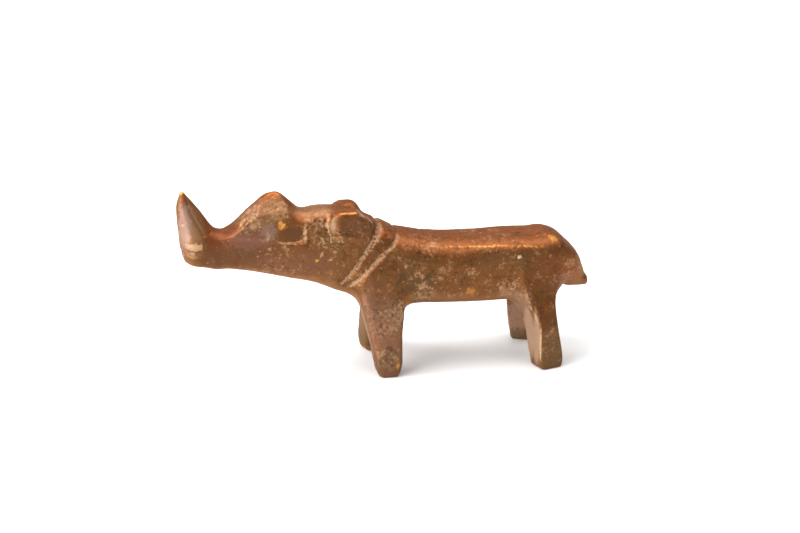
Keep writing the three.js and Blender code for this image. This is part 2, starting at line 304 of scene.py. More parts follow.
@dataclass(frozen=True)
class BrowHorn:
    """The short horn on the brow: a point pared with a blade on all sides and worn blunt.

    Each flat is a cut's height over the point, its turn and its slope: three for the crest, then
    two in front, and on round the side to the rear.
    """

    x: float = -20.3
    z: float = 34.15
    foot: float = 26.8
    half_width: float = 3.5
    edge: float = 0.3
    joint: Joint = Joint.TIGHT
    flats: tuple[tuple[float, float, float], ...] = (
        (0.0, 0, 18),
        (0.0, 90, 22),
        (0.0, 180, 25),
        (0.85, 0, 38),
        (2.97, 0, 50),
        (1.4, 30, 45),
        (0.35, 90, 49),
        (1.0, 135, 49.6),
        (0.4, 180, 43),
    )

    def reaches(self, points: Places) -> np.ndarray:
        """Lets the horn reach every point, since its flats run on into the head."""
        return np.ones(len(points), dtype=bool)

    def distance(self, points: Places) -> np.ndarray:
        """Measures each point's distance to the horn.

        Args:
            points: the places.

        Returns:
            One distance for each place, negative inside.
        """
        cuts = [Cut(self.x, 0.0, self.z + rise, turn, slope) for rise, turn, slope in self.flats]
        cuts.append(Cut(self.x, self.half_width, 0.0, turn=90, slope=90))
        cuts.append(Cut(self.x, 0.0, self.foot, turn=0, slope=DOWN))
        return pare_off(cuts[0].beyond(points), points, cuts[1:], self.edge)


class Mark:
    """Something that a tool cuts into the form; edge is how far its rim is rounded over."""

    edge: float

    def tool(self, form: np.ndarray, points: Places) -> np.ndarray:
        """Measures how deep each point lies in the tool, negative outside it."""
        raise NotImplementedError

    def cut(self, form: np.ndarray, points: Places) -> np.ndarray:
        """Cuts the mark into the form and returns the new distances."""
        return pare(form, self.tool(form, points), self.edge)


@dataclass
class EyeSocket(Mark):
    """A sunken rounded-square eye, deeper behind, with sloping walls.

    Its lower and its rear wall are painted pale: part dust, and part painted light on the walls
    that face the lamps. Where it starts and ends is measured from the eye's middle: down, along the
    lower wall, along to the rear wall, and up that wall.
    """

    x: float = -17.8
    z: float = 27.0
    half_long: float = 2.8
    half_high: float = 1.87
    corner: float = 8.0
    floor: float = 3.98
    lean: float = 0.15
    face: float = 4.5
    draft: float = 0.7
    edge: float = 0.08
    dust_and_light_ring: float = 0.87
    pale_width: Span = (0.34, 0.16)
    below: Span = (-0.9, -1.4)
    before_rear: Span = (2.2, 1.7)
    rear: Span = (1.6, 2.2)
    rear_foot: Span = (-1.5, -1.0)
    rear_dust_and_light: float = 1.4

    def ring(self, points: Places) -> np.ndarray:
        """Measures places from the side: 1 on the outline of the mouth and less inside."""
        out = np.abs(points[:, [0, 2]] - (self.x, self.z)) / (self.half_long, self.half_high)
        return outline(*out.T, self.corner)

    def tool(self, form: np.ndarray, points: Places) -> np.ndarray:
        """Measures how deep each point lies in the socket, on both sides of the head.

        Args:
            form: distances to the form that is cut; not used here.
            points: the places where they were measured.

        Returns:
            One depth for each place, negative outside the socket.
        """
        depth = np.maximum(self.face - np.abs(points[:, 1]), 0.0)
        wall = (self.ring(points) - 1.0) * self.half_high + self.draft * depth
        floor = self.floor - self.lean * (points[:, 0] - self.x)
        return -np.maximum(wall, floor - np.abs(points[:, 1]))

    def dust_share(self, points: Places) -> np.ndarray:
        """Returns how pale the walls are painted, part dust and part painted light: below the eye, and
        more behind.

        Args:
            points: the places.

        Returns:
            A share for each place, from 0 up to the rear wall's share.
        """
        out_x = points[:, 0] - self.x
        out_z = points[:, 2] - self.z
        wall = np.abs((self.ring(points) - self.dust_and_light_ring) * self.half_high)
        below = fade(out_z, *self.below) * fade(out_x, *self.before_rear)
        behind = fade(out_x, *self.rear) * fade(out_z, *self.rear_foot)
        return fade(wall, *self.pale_width) * np.maximum(below, self.rear_dust_and_light * behind)


@dataclass
class NeckGroove(Mark):
    """A line cut round the neck with a narrow tool, over the nape and down to the throat.

    The tool's round end stays outside the wax by lift, in radii. The hand trembles and presses
    unevenly: pressures has the size, wavelength and phase of each unevenness. It presses
    nape_share harder on the nape. The dust in the groove is rubbed out over the nape, as far to
    each side as clean says.
    """

    x: float
    z: float
    lean: float
    end: float
    radius: float = 0.5
    lift: float = 0.55
    phase: float = 0.0
    nape_share: float = 0.0
    clean: float = 0.0
    edge: float = 0.06
    waver: float = 0.16
    waver_length: float = 9.0
    pressures: tuple[tuple[float, float, float], ...] = ((0.2, 2.6, 1.0), (0.16, 1.1, 0.0))
    nape: Span = (22.0, 27.5)
    neck: Span = (-16.0, 8.0)
    fade_length: float = 1.2
    dusty_edges: Span = (1.1, 0.6)
    least_dusty: float = 0.1
    clean_edge: float = 2.0

    def offset(self, points: Places) -> np.ndarray:
        """Measures how far each point lies from the plane that the groove is cut in.

        Args:
            points: the places.

        Returns:
            One distance for each place, negative in front of the plane.
        """
        angle = math.radians(self.lean)
        across = (points[:, 0] - self.x) * math.cos(angle) - (points[:, 2] - self.z) * math.sin(angle)
        return across + self.waver * tremor(points, self.waver_length, self.phase)

    def width(self, points: Places) -> np.ndarray:
        """Gives the groove's half width at each point, which dies out at the throat.

        Args:
            points: the places.

        Returns:
            One half width for each place.
        """
        pressure = 1.0
        for size, wavelength, phase in self.pressures:
            pressure = pressure + size * tremor(points, wavelength, self.phase + phase)
        pressure += self.nape_share * fade(points[:, 2], *self.nape)
        return self.radius * pressure * fade(points[:, 2], self.end, self.end + self.fade_length)

    def tool(self, form: np.ndarray, points: Places) -> np.ndarray:
        """Measures how deep each point lies in the tool that follows the surface of the form."""
        width = self.width(points)
        return width - np.hypot(self.offset(points), form - self.lift * width)

    def dust_share(self, points: Places) -> np.ndarray:
        """Returns how much dust lies in the groove.

        Args:
            points: the places.

        Returns:
            A share for each place, from 0 to 1.
        """
        width = self.width(points)
        outer, inner = (edge * width for edge in self.dusty_edges)
        share = fade(np.abs(self.offset(points)), outer + 1e-6, inner)
        share *= width > self.least_dusty
        share *= fade(np.abs(points[:, 1]), self.clean, self.clean + self.clean_edge)
        return share * (points[:, 0] > self.neck[0]) * (points[:, 0] < self.neck[1])


@dataclass
class ScoredLine(Mark):
    """A fine line scored into the wax, along a path that is seen from the side."""

    path: tuple[tuple[float, float], ...]
    radius: float = 0.3
    lift: float = 0.12
    sides: tuple[float, ...] = (NEAR, FAR)
    dusty: bool = False
    edge: float = 0.06
    pale_width: Span = (0.45, 0.1)

    def aside(self, points: Places) -> np.ndarray:
        """Measures how far each point lies from the line, as seen from the side."""
        here = np.isin(np.sign(points[:, 1]), self.sides)
        return np.where(here, path_gap(points[:, [0, 2]], self.path), FAR_AWAY)

    def tool(self, form: np.ndarray, points: Places) -> np.ndarray:
        """Measures how deep each point lies in the point that follows the surface of the form."""
        return self.radius - np.hypot(self.aside(points), form - self.lift)

    def dust_share(self, points: Places) -> np.ndarray:
        """Returns how much dust lies in the line, from 0 to 1."""
        return fade(self.aside(points), *self.pale_width) * self.dusty


@dataclass
class Scoop(Mark):
    """A shallow hollow left by a round-ended tool or a thumb."""

    centre: Triple
    size: Triple
    edge: float = 0.15
    sides: tuple[float, ...] = (NEAR, FAR)

    def tool(self, form: np.ndarray, points: Places) -> np.ndarray:
        """Measures how deep each point lies in the hollow, on one side or on both."""
        place = to_near_side(points) if FAR in self.sides else points
        return (1.0 - np.linalg.norm((place - self.centre) / self.size, axis=1)) * min(self.size)


@dataclass
class RubbedEdge:
    """An edge that handling has polished, along a path in space; both sides of the figure have it."""

    path: tuple[Triple, ...]
    width: float = 0.45
    spread: Span = (2.0, 0.3)

    def share(self, points: Places) -> np.ndarray:
        """Returns 1 on the edge, and 0 from twice its width away."""
        outer, inner = (spread * self.width for spread in self.spread)
        return fade(path_gap(to_near_side(points), self.path), outer, inner)


@dataclass
class WaxFigure:
    """The whole figure as it was worked in wax, in millimetres, over Z = 0.

    The nose horn rises from the blunt front of the muzzle, its foot pared in line with the jaw.
    The trunk's rear corners are pared off towards the tail, the ears in front and on top.
    A rough place is its middle on the near side, its radius, and how coarse it is, up to 1.
    """

    far_front_ahead: float = 0.7
    far_hind_ahead: float = 0.8
    far_front_turn: float = 18.0
    hind_turn: float = 20.0
    sole_level: float = -0.15
    sole_edge: float = 1.2
    stand_edge: float = 0.08
    trunk: WaxRoll = WaxRoll(
        (
            (3.5, 0, 18.3, 6.3, 6.2),
            (7.0, 0, 18.2, 6.7, 6.35),
            (11.0, 0, 17.95, 6.8, 6.15),
            (17.5, 0, 17.85, 6.8, 6.05),
            (22.5, 0, 17.95, 6.8, 6.0),
            (27.9, 0, 17.75, 6.5, 6.0),
        ),
        Section.ROLLED,
        end_section=Section.BOXED,
        cuts=(Cut(31.0, 6.3, 0, turn=128, slope=90),),
        edge=1.6,
    )
    head: WaxRoll = WaxRoll(
        (
            (1.5, 0, 18.75, 6.3, 6.65),
            (-3.0, 0, 20.5, 5.8, 7.3),
            (-8.0, 0, 22.35, 5.3, 7.5),
            (-12.5, 0, 23.7, 4.8, 7.0),
            (-18.0, 0, 23.95, 4.6, 5.9),
            (-24.0, 0, 23.95, 4.0, 4.5),
            (-30.0, 0, 23.8, 3.3, 3.35),
            (-33.4, 0, 24.1, 2.7, 2.65),
        ),
        Section.PARED,
    )
    nose_horn: WaxRoll = WaxRoll(
        (
            (-33.8, 0, 22.2, 2.6, 2.85),
            (-34.2, 0, 24.0, 2.85, 2.95),
            (-34.7, 0, 26.0, 2.85, 3.0),
            (-35.2, 0, 28.2, 2.55, 2.8),
            (-36.0, 0, 30.6, 1.95, 2.15),
            (-36.65, 0, 32.5, 1.35, 1.45),
            (-36.9, 0, 33.7, 0.8, 0.85),
            (-36.95, 0, 34.2, 0.5, 0.55),
        ),
        Section.FACETED,
        Joint.HOLLOW,
        facet=0.71,
        cuts=(Cut(-36.5, 0, 21.9, turn=0, slope=DOWN - 2.9),),
    )
    brow: BrowHorn = BrowHorn()
    near_ear: WaxRoll = WaxRoll(
        ((-8.3, -4.0, 28.3, 1.9, 2.75), (-6.9, -3.9, 28.4, 1.9, 2.7), (-5.4, -3.8, 27.5, 1.7, 2.3)),
        Section.BOXED,
        Joint.CRISP,
        cuts=(Cut(-9.7, 5.8, 0, turn=53, slope=90), Cut(0, 0, 30.95, turn=0, slope=0)),
    )
    far_ear: WaxRoll = WaxRoll(
        ((-7.3, 4.2, 27.6, 1.8, 2.75), (-6.7, 4.2, 27.6, 1.9, 2.75)),
        Section.BOXED,
        Joint.CRISP,
        cuts=(
            Cut(-9.0, 5.8, 0, turn=53, slope=90),
            Cut(0, 0, 30.1, turn=0, slope=0),
            Cut(-7.9, 0, 30.1, turn=0, slope=30),
        ),
    )
    tail: WaxRoll = WaxRoll(
        (
            (29.8, 0, 19.5, 6.0, 4.55),
            (33.3, 0, 17.2, 4.6, 3.6),
            (35.4, 0, 14.95, 3.0, 2.45),
            (36.2, 0, 13.9, 2.3, 1.95),
        ),
        Section.PARED,
        Joint.TIGHT,
        cuts=(Cut(0, 0, 12.95, turn=0, slope=DOWN), Cut(0, 1.1, 12.95, turn=90, slope=132)),
        edge=0.3,
    )
    eye: EyeSocket = field(default_factory=EyeSocket)
    grooves: tuple[NeckGroove, ...] = (
        NeckGroove(-5.6, 21.6, 35.0, 16.4, radius=0.6, phase=0.4, nape_share=0.4, clean=-0.5),
        NeckGroove(-3.3, 20.8, 46.0, 15.5, radius=0.5, phase=2.2, nape_share=0.1, clean=1.0),
    )
    scores: tuple[ScoredLine, ...] = (
        ScoredLine(((-36.25, 33.2), (-35.6, 31.3), (-34.75, 29.5), (-33.5, 27.2)), radius=0.4, lift=0.2),
        ScoredLine(((-37.4, 23.9), (-36.2, 24.35), (-34.2, 24.5)), radius=0.3, lift=0.12),
        ScoredLine(((-21.1, 29.75), (-19.6, 29.65), (-18.2, 29.9)), radius=0.26, lift=0.1, sides=(NEAR,)),
        ScoredLine(((-12.3, 29.3), (-11.4, 28.1), (-10.9, 26.4), (-10.9, 25.3)), lift=0.24, dusty=True),
        ScoredLine(((-9.7, 27.4), (-9.2, 26.6), (-8.8, 25.3)), lift=0.24, dusty=True),
        ScoredLine(((-13.0, 26.5), (-12.3, 26.0), (-12.2, 25.2)), lift=0.24, dusty=True),
        ScoredLine(((-12.3, 23.6), (-12.7, 22.5)), lift=0.24, dusty=True),
        ScoredLine(((-11.6, 21.8), (-10.6, 22.2)), lift=0.25, dusty=True),
        ScoredLine(((-10.7, 24.6), (-9.3, 24.5)), radius=0.24, lift=0.1),
        ScoredLine(((-8.4, 23.9), (-8.1, 23.1), (-7.3, 23.0), (-6.9, 23.7)), lift=0.18),
        ScoredLine(((-4.9, 13.6), (-4.3, 10.4), (-3.4, 6.2)), radius=0.3, lift=0.18),
        ScoredLine(((-4.3, 12.9), (-3.8, 10.0), (-3.0, 6.6)), radius=0.26, lift=0.16),
    )
    rough_places: tuple[tuple[Triple, float, float], ...] = (
        ((-13.3, -4.6, 26.3), 3.2, 0.5),
        ((-9.9, -5.6, 25.8), 2.2, 0.7),
        ((-20.3, -2.2, 31.5), 3.2, 0.8),
        ((-25.2, -2.4, 29.8), 3.6, 0.8),
        ((-12.6, -3.6, 30.2), 4.0, 0.9),
        ((1.6, -7.8, 12.0), 3.4, 1.0),
        ((-1.0, -9.4, 4.0), 3.4, 0.7),
        ((6.0, -6.8, 14.6), 3.2, 0.9),
        ((4.8, -6.8, 17.4), 3.4, 0.5),
        ((21.8, -6.8, 15.6), 3.0, 0.8),
        ((26.2, -8.2, 8.0), 3.0, 0.5),
        ((-6.6, -5.4, 27.6), 3.0, 0.5),
        ((7.0, -3.5, 24.0), 5.0, 0.6),
        ((18.0, -3.5, 24.0), 6.0, 0.45),
        ((12.0, -6.8, 17.5), 6.0, 0.45),
        ((28.6, -9.4, 6.0), 3.5, 0.35),
        ((-1.8, -8.2, 10.5), 4.0, 0.75),
        ((33.6, -3.0, 17.4), 4.6, 0.7),
        ((-20.0, -4.4, 21.6), 5.5, 0.52),
    )
    groove_rough: float = 0.5
    body_rough: float = 0.3
    head_end: Span = (-17.0, -11.0)
    rough_fade: Span = (1.2, 0.5)
    scoops: tuple[Scoop, ...] = (
        Scoop(centre=(-6.6, -7.85, 27.7), size=(3.6, 2.6, 3.1), edge=0.18),
        Scoop(centre=(-19.6, -4.5, 28.8), size=(1.0, 1.0, 0.9), sides=(NEAR,)),
        Scoop(centre=(-14.6, -5.9, 26.4), size=(1.3, 1.5, 2.6), edge=0.5),
    )
    rubbed: tuple[RubbedEdge, ...] = (
        RubbedEdge(path=((10.0, -4.9, 23.3), (20.2, -5.4, 23.0), (28.3, -5.9, 22.6)), width=0.34),
        RubbedEdge(path=((30.4, -4.3, 23.6), (32.0, -3.6, 22.0)), width=0.5),
        RubbedEdge(path=((-36.95, 0.0, 34.8), (-36.9, 0.0, 34.2)), width=0.45),
        RubbedEdge(path=((-9.3, -5.3, 30.7), (-6.3, -5.4, 30.8)), width=0.3),
    )

    def front_leg(self, sign: float) -> WaxRoll:
        """Rolls one front leg.

        Args:
            sign: NEAR or FAR.

        Returns:
            The leg; the far one stands ahead and is turned.
        """
        ahead = self.far_front_ahead if sign == FAR else 0.0
        stations = (
            (-1.7 + ahead, sign * 4.0, 16.0, 3.0, 4.4 - ahead),
            (-1.5 + ahead, sign * 5.4, 12.5, 2.8, 4.0 - ahead),
            (-1.15 + 0.4 * ahead, sign * 6.4, 7.0, 2.5, 3.0 - 0.4 * ahead),
            (-0.8 - 0.6 * ahead, sign * 7.0, 2.6, 2.4, 2.55),
            (-0.75 - 0.6 * ahead, sign * 7.2, 0.9, 2.25, 2.2 + 0.3 * ahead),
            (-0.8 - 0.6 * ahead, sign * 7.2, 0.0, 2.05, 2.0 + 0.3 * ahead),
        )
        turn = self.far_front_turn if sign == FAR else 0.0
        return WaxRoll(stations, Section.BOXED, turn=turn)

    def hind_leg(self, sign: float) -> WaxRoll:
        """Rolls one hind leg and pares it square.

        Args:
            sign: NEAR or FAR.

        Returns:
            The leg; the far one stands ahead.
        """
        ahead = self.far_hind_ahead if sign == FAR else 0.0
        stations = (
            (26.8, sign * 3.6, 16.0, 3.0, 3.6),
            (27.2, sign * 5.6, 12.0, 2.6, 3.0),
            (27.85 - ahead, sign * 7.3, 8.3, 2.7, 2.2),
            (28.4 - ahead, sign * 7.6, 4.4, 2.45, 2.4),
            (28.85 - ahead, sign * 7.75, 1.7, 2.3, 2.4),
            (28.9 - ahead, sign * 7.8, 0.0, 2.25, 2.35),
        )
        return WaxRoll(stations, Section.SQUARE, turn=-sign * self.hind_turn)

    def parts(self) -> list[WaxRoll | BrowHorn]:
        """Gathers the parts of the wax.

        Returns:
            The parts, in the order in which they are pressed together.
        """
        legs = [leg(sign) for leg in (self.front_leg, self.hind_leg) for sign in (NEAR, FAR)]
        horns = [self.nose_horn, self.brow]
        return [self.trunk, self.head, *legs, *horns, self.near_ear, self.far_ear, self.tail]

    def wax(self, points: Places) -> np.ndarray:
        """Measures each point's distance to the rolled and pressed form, before any cut.

        Args:
            points: the places.

        Returns:
            One distance for each place, negative inside.
        """
        form = np.full(len(points), UNWORKED)
        for part in self.parts():
            close = part.reaches(points)
            form[close] = press(form[close], part.distance(points[close]), part.joint.value)
        return pare(form, self.sole_level - points[:, 2], self.sole_edge)

    def distance(self, points: Places) -> np.ndarray:
        """Measures each point's distance to the finished form.

        Args:
            points: the places.

        Returns:
            One distance for each place, negative inside.
        """
        form = self.wax(points)
        for mark in (*self.scoops, self.eye, *self.grooves, *self.scores):
            form = mark.cut(form, points)
        return pare(form, -points[:, 2], self.stand_edge)

    def dust_share(self, points: Places) -> np.ndarray:
        """Returns how thickly dust lies in the neck grooves and the dusty scores, and how pale the eyes'
        walls are painted, part dust and part painted light.
        """
        marks = (self.eye, *self.grooves, *self.scores)
        return np.maximum.reduce([mark.dust_share(points) for mark in marks])

    def rubbed_share(self, points: Places) -> np.ndarray:
        """Returns how much handling has rubbed the surface, from 0 to 1."""
        return np.maximum.reduce([edge.share(points) for edge in self.rubbed])

    def rough_share(self, points: Places) -> np.ndarray:
        """Tells how coarsely the surface was left: in grooves, behind the head and in rough places.

        Args:
            points: the places.

        Returns:
            A share for each place, from 0 to 1.
        """
        behind_head = fade(points[:, 0], *self.head_end)
        share = np.maximum(self.groove_rough * self.dust_share(points), self.body_rough * behind_head)
        near_points = to_near_side(points)
        for centre, radius, strength in self.rough_places:
            away = np.linalg.norm(near_points - centre, axis=1) / radius
            share = np.maximum(share, strength * fade(away, *self.rough_fade))
        return share


@dataclass
class Modeller:
    """Turns the figure's form into a fine mesh of four-cornered faces, one corner to a cell.

    The form is measured first on every coarse-th line, and then on all lines within a band of
    so many coarse cells.
    """

    head_cell: float = 0.22
    body_cell: float = 0.29
    cross_cell: float = 0.25
    neck_end: float = -3.0
    low: Triple = (-39.0, -11.6, -0.7)
    high: Triple = (39.0, 11.6, 35.6)
    coarse: int = 4
    band: float = 2.2
    nudge: float = 0.03
    least_slope: float = 0.3
    longest_move: float = 0.12

    def lines(self) -> list[np.ndarray]:
        """Sets the grid lines, closer together at the head.

        Returns:
            The lines along X, Y and Z, in millimetres.
        """
        head = np.arange(self.low[0], self.neck_end, self.head_cell)
        body = np.arange(self.neck_end, self.high[0], self.body_cell)
        y = np.arange(self.low[1], self.high[1], self.cross_cell)
        z = np.arange(self.low[2], self.high[2], self.cross_cell)
        return [np.concatenate([head, body]), y, z]

    def sample(self, figure: WaxFigure, lines: list[np.ndarray]) -> np.ndarray:
        """Measures the form on the grid, closely only where its surface may be.

        Args:
            figure: the form.
            lines: the grid lines along each axis.

        Returns:
            The distances, as an array with one axis for each of X, Y and Z.
        """
        rough_lines = [line[:: self.coarse] for line in lines]
        rough_grid = np.stack(np.meshgrid(*rough_lines, indexing="ij"), axis=-1)
        rough = figure.wax(rough_grid.reshape(-1, 3)).reshape(rough_grid.shape[:3])
        values = rough
        for axis, line in enumerate(lines):
            values = np.repeat(values, self.coarse, axis=axis).take(range(len(line)), axis=axis)
        close = np.abs(values) < self.band * self.coarse * self.body_cell
        grid = np.stack(np.meshgrid(*lines, indexing="ij"), axis=-1)
        values[close] = figure.distance(grid[close])
        return values

    def build(self, figure: WaxFigure) -> tuple[np.ndarray, np.ndarray]:
        """Meshes the figure.

        Args:
            figure: the form to mesh.

        Returns:
            The corners in millimetres, and the faces as rows of four corner numbers.
        """
        lines = self.lines()
        values = self.sample(figure, lines)
        # For each cell, the sum of the crossings round it, and how many there are
        cells = np.zeros((values.size, 4))
        faces = []
        for axis in range(3):
            quads, where = self.crossings(values, lines, axis)
            rows = np.column_stack([where, np.ones(len(where))])
            for column in quads.T:
                cells += gather(column, rows, len(cells))
            faces.append(quads)
        used = cells[:, 3] > 0
        number = np.cumsum(used) - 1
        corners = cells[used, :3] / cells[used, 3:]
        return self.settle(figure, corners), number[np.concatenate(faces)]

    @staticmethod
    def crossings(values: np.ndarray, lines: list[np.ndarray], axis: int) -> tuple[np.ndarray, np.ndarray]:
        """Finds the grid edges along one axis that cross the surface.

        Args:
            values: the distances on the grid.
            lines: the grid lines along each axis.
            axis: the edges' direction.

        Returns:
            The four cells around each edge, in order, and the place where the edge crosses.
        """
        count = values.shape[axis] - 1
        start = values.take(range(count), axis=axis)
        end = values.take(range(1, count + 1), axis=axis)
        node = np.argwhere((start < 0) != (end < 0))
        here = start[tuple(node.T)]
        there = end[tuple(node.T)]
        where = np.stack([line[node[:, i]] for i, line in enumerate(lines)], axis=1)
        gap = lines[axis][node[:, axis] + 1] - where[:, axis]
        where[:, axis] += gap * here / (here - there)
        first, second = (axis + 1) % 3, (axis + 2) % 3
        around = []
        for step_first, step_second in ((1, 1), (0, 1), (0, 0), (1, 0)):
            cell = node.copy()
            cell[:, first] -= step_first
            cell[:, second] -= step_second
            around.append(np.ravel_multi_index(tuple(cell.T), values.shape))
        quads = np.stack(around, axis=1)
        quads[here > 0] = quads[here > 0][:, ::-1]
        return quads, where

    def settle(self, figure: WaxFigure, corners: np.ndarray) -> np.ndarray:
        """Moves the corners onto the true surface by two short steps down the slope.

        Args:
            figure: the form.
            corners: places near its surface, in millimetres.

        Returns:
            The places on the surface.
        """
        for _ in range(2):
            here = figure.distance(corners)
            slope = np.empty_like(corners)
            for axis in range(3):
                ahead = corners.copy()
                ahead[:, axis] += self.nudge
                slope[:, axis] = (figure.distance(ahead) - here) / self.nudge
            steepness = np.maximum(np.einsum("ij,ij->i", slope, slope), self.least_slope)
            move = -(here / steepness)[:, None] * slope
            corners = corners + np.clip(move, -self.longest_move, self.longest_move)
        return corners


@dataclass
class Surveyor:
    """Reads which way the surface faces, and how far it stands out, at each corner of the mesh."""

    corners: np.ndarray
    faces: np.ndarray

    def edges(self) -> np.ndarray:
        """Returns each edge once, as rows of two corner numbers."""
        pairs = np.concatenate([self.faces[:, [i, (i + 1) % 4]] for i in range(4)])
        return np.unique(np.sort(pairs, axis=1), axis=0)

    def normals(self) -> np.ndarray:
        """Averages the normals of the faces round each corner.

        Returns:
            The outward normal at each corner, one to a row.
        """
        a, b, c, d = (self.corners[column] for column in self.faces.T)
        face = np.cross(c - a, d - b)
        total = sum(gather(column, face, len(self.corners)) for column in self.faces.T)
        return total / np.linalg.norm(total, axis=1, keepdims=True)

    def swell(self, rounds: int) -> np.ndarray:
        """Measures how far each corner stands out from its smoothed surroundings.

        Args:
            rounds: how often the surroundings are averaged, which sets how wide they are.

        Returns:
            Millimetres for each corner, negative in a hollow.
        """
        one, other = self.edges().T
        size = len(self.corners)
        degree = np.bincount(one, minlength=size) + np.bincount(other, minlength=size)
        smooth = self.corners
        for _ in range(rounds):
            total = gather(one, smooth[other], size) + gather(other, smooth[one], size)
            smooth = total / degree[:, None]
        return np.einsum("ij,ij->i", self.corners - smooth, self.normals())


def linear(hex_colour: str) -> tuple[float, float, float, float]:
    """Turns an sRGB colour into a linear one.

    Args:
        hex_colour: the colour, such as #7b5132.

    Returns:
        Red, green, blue and alpha, from 0 to 1.
    """
    channels = []
    for i in (1, 3, 5):
        value = int(hex_colour[i : i + 2], 16) / 255.0
        channels.append(value / 12.92 if value <= 0.04045 else ((value + 0.055) / 1.055) ** 2.4)
    return (*channels, 1.0)


# What an input of a node can be linked to; a node stands for its first output
Source = Node | NodeSocket


def add_node(tree: NodeTree, kind: str, inputs: dict | None = None, **settings: object) -> Node:
    """Adds a node with its settings, values and links.

    Args:
        tree: the node tree.
        kind: the node's type name.
        inputs: values, output sockets, or nodes for their first outputs, by input.
        **settings: the node's own properties.

    Returns:
        The new node.
    """
    node = tree.nodes.new(kind)
    for name, value in settings.items():
        setattr(node, name, value)
    for name, value in (inputs or {}).items():
        socket = node.inputs[name]
        if isinstance(value, Node):
            value = value.outputs[0]
        if isinstance(value, NodeSocket):
            tree.links.new(value, socket)
        else:
            socket.default_value = value
    return node


@dataclass(frozen=True)
class ColourPatch:
    """A patch of the casting that has another colour, in millimetres, on both sides or on one. Most are
    stains; some are painted light and shade.
    """

    colour: str
    centre: Triple
    size: Triple
    strength: float = 0.7
    ragged: float = 0.8
    one_side: bool = False


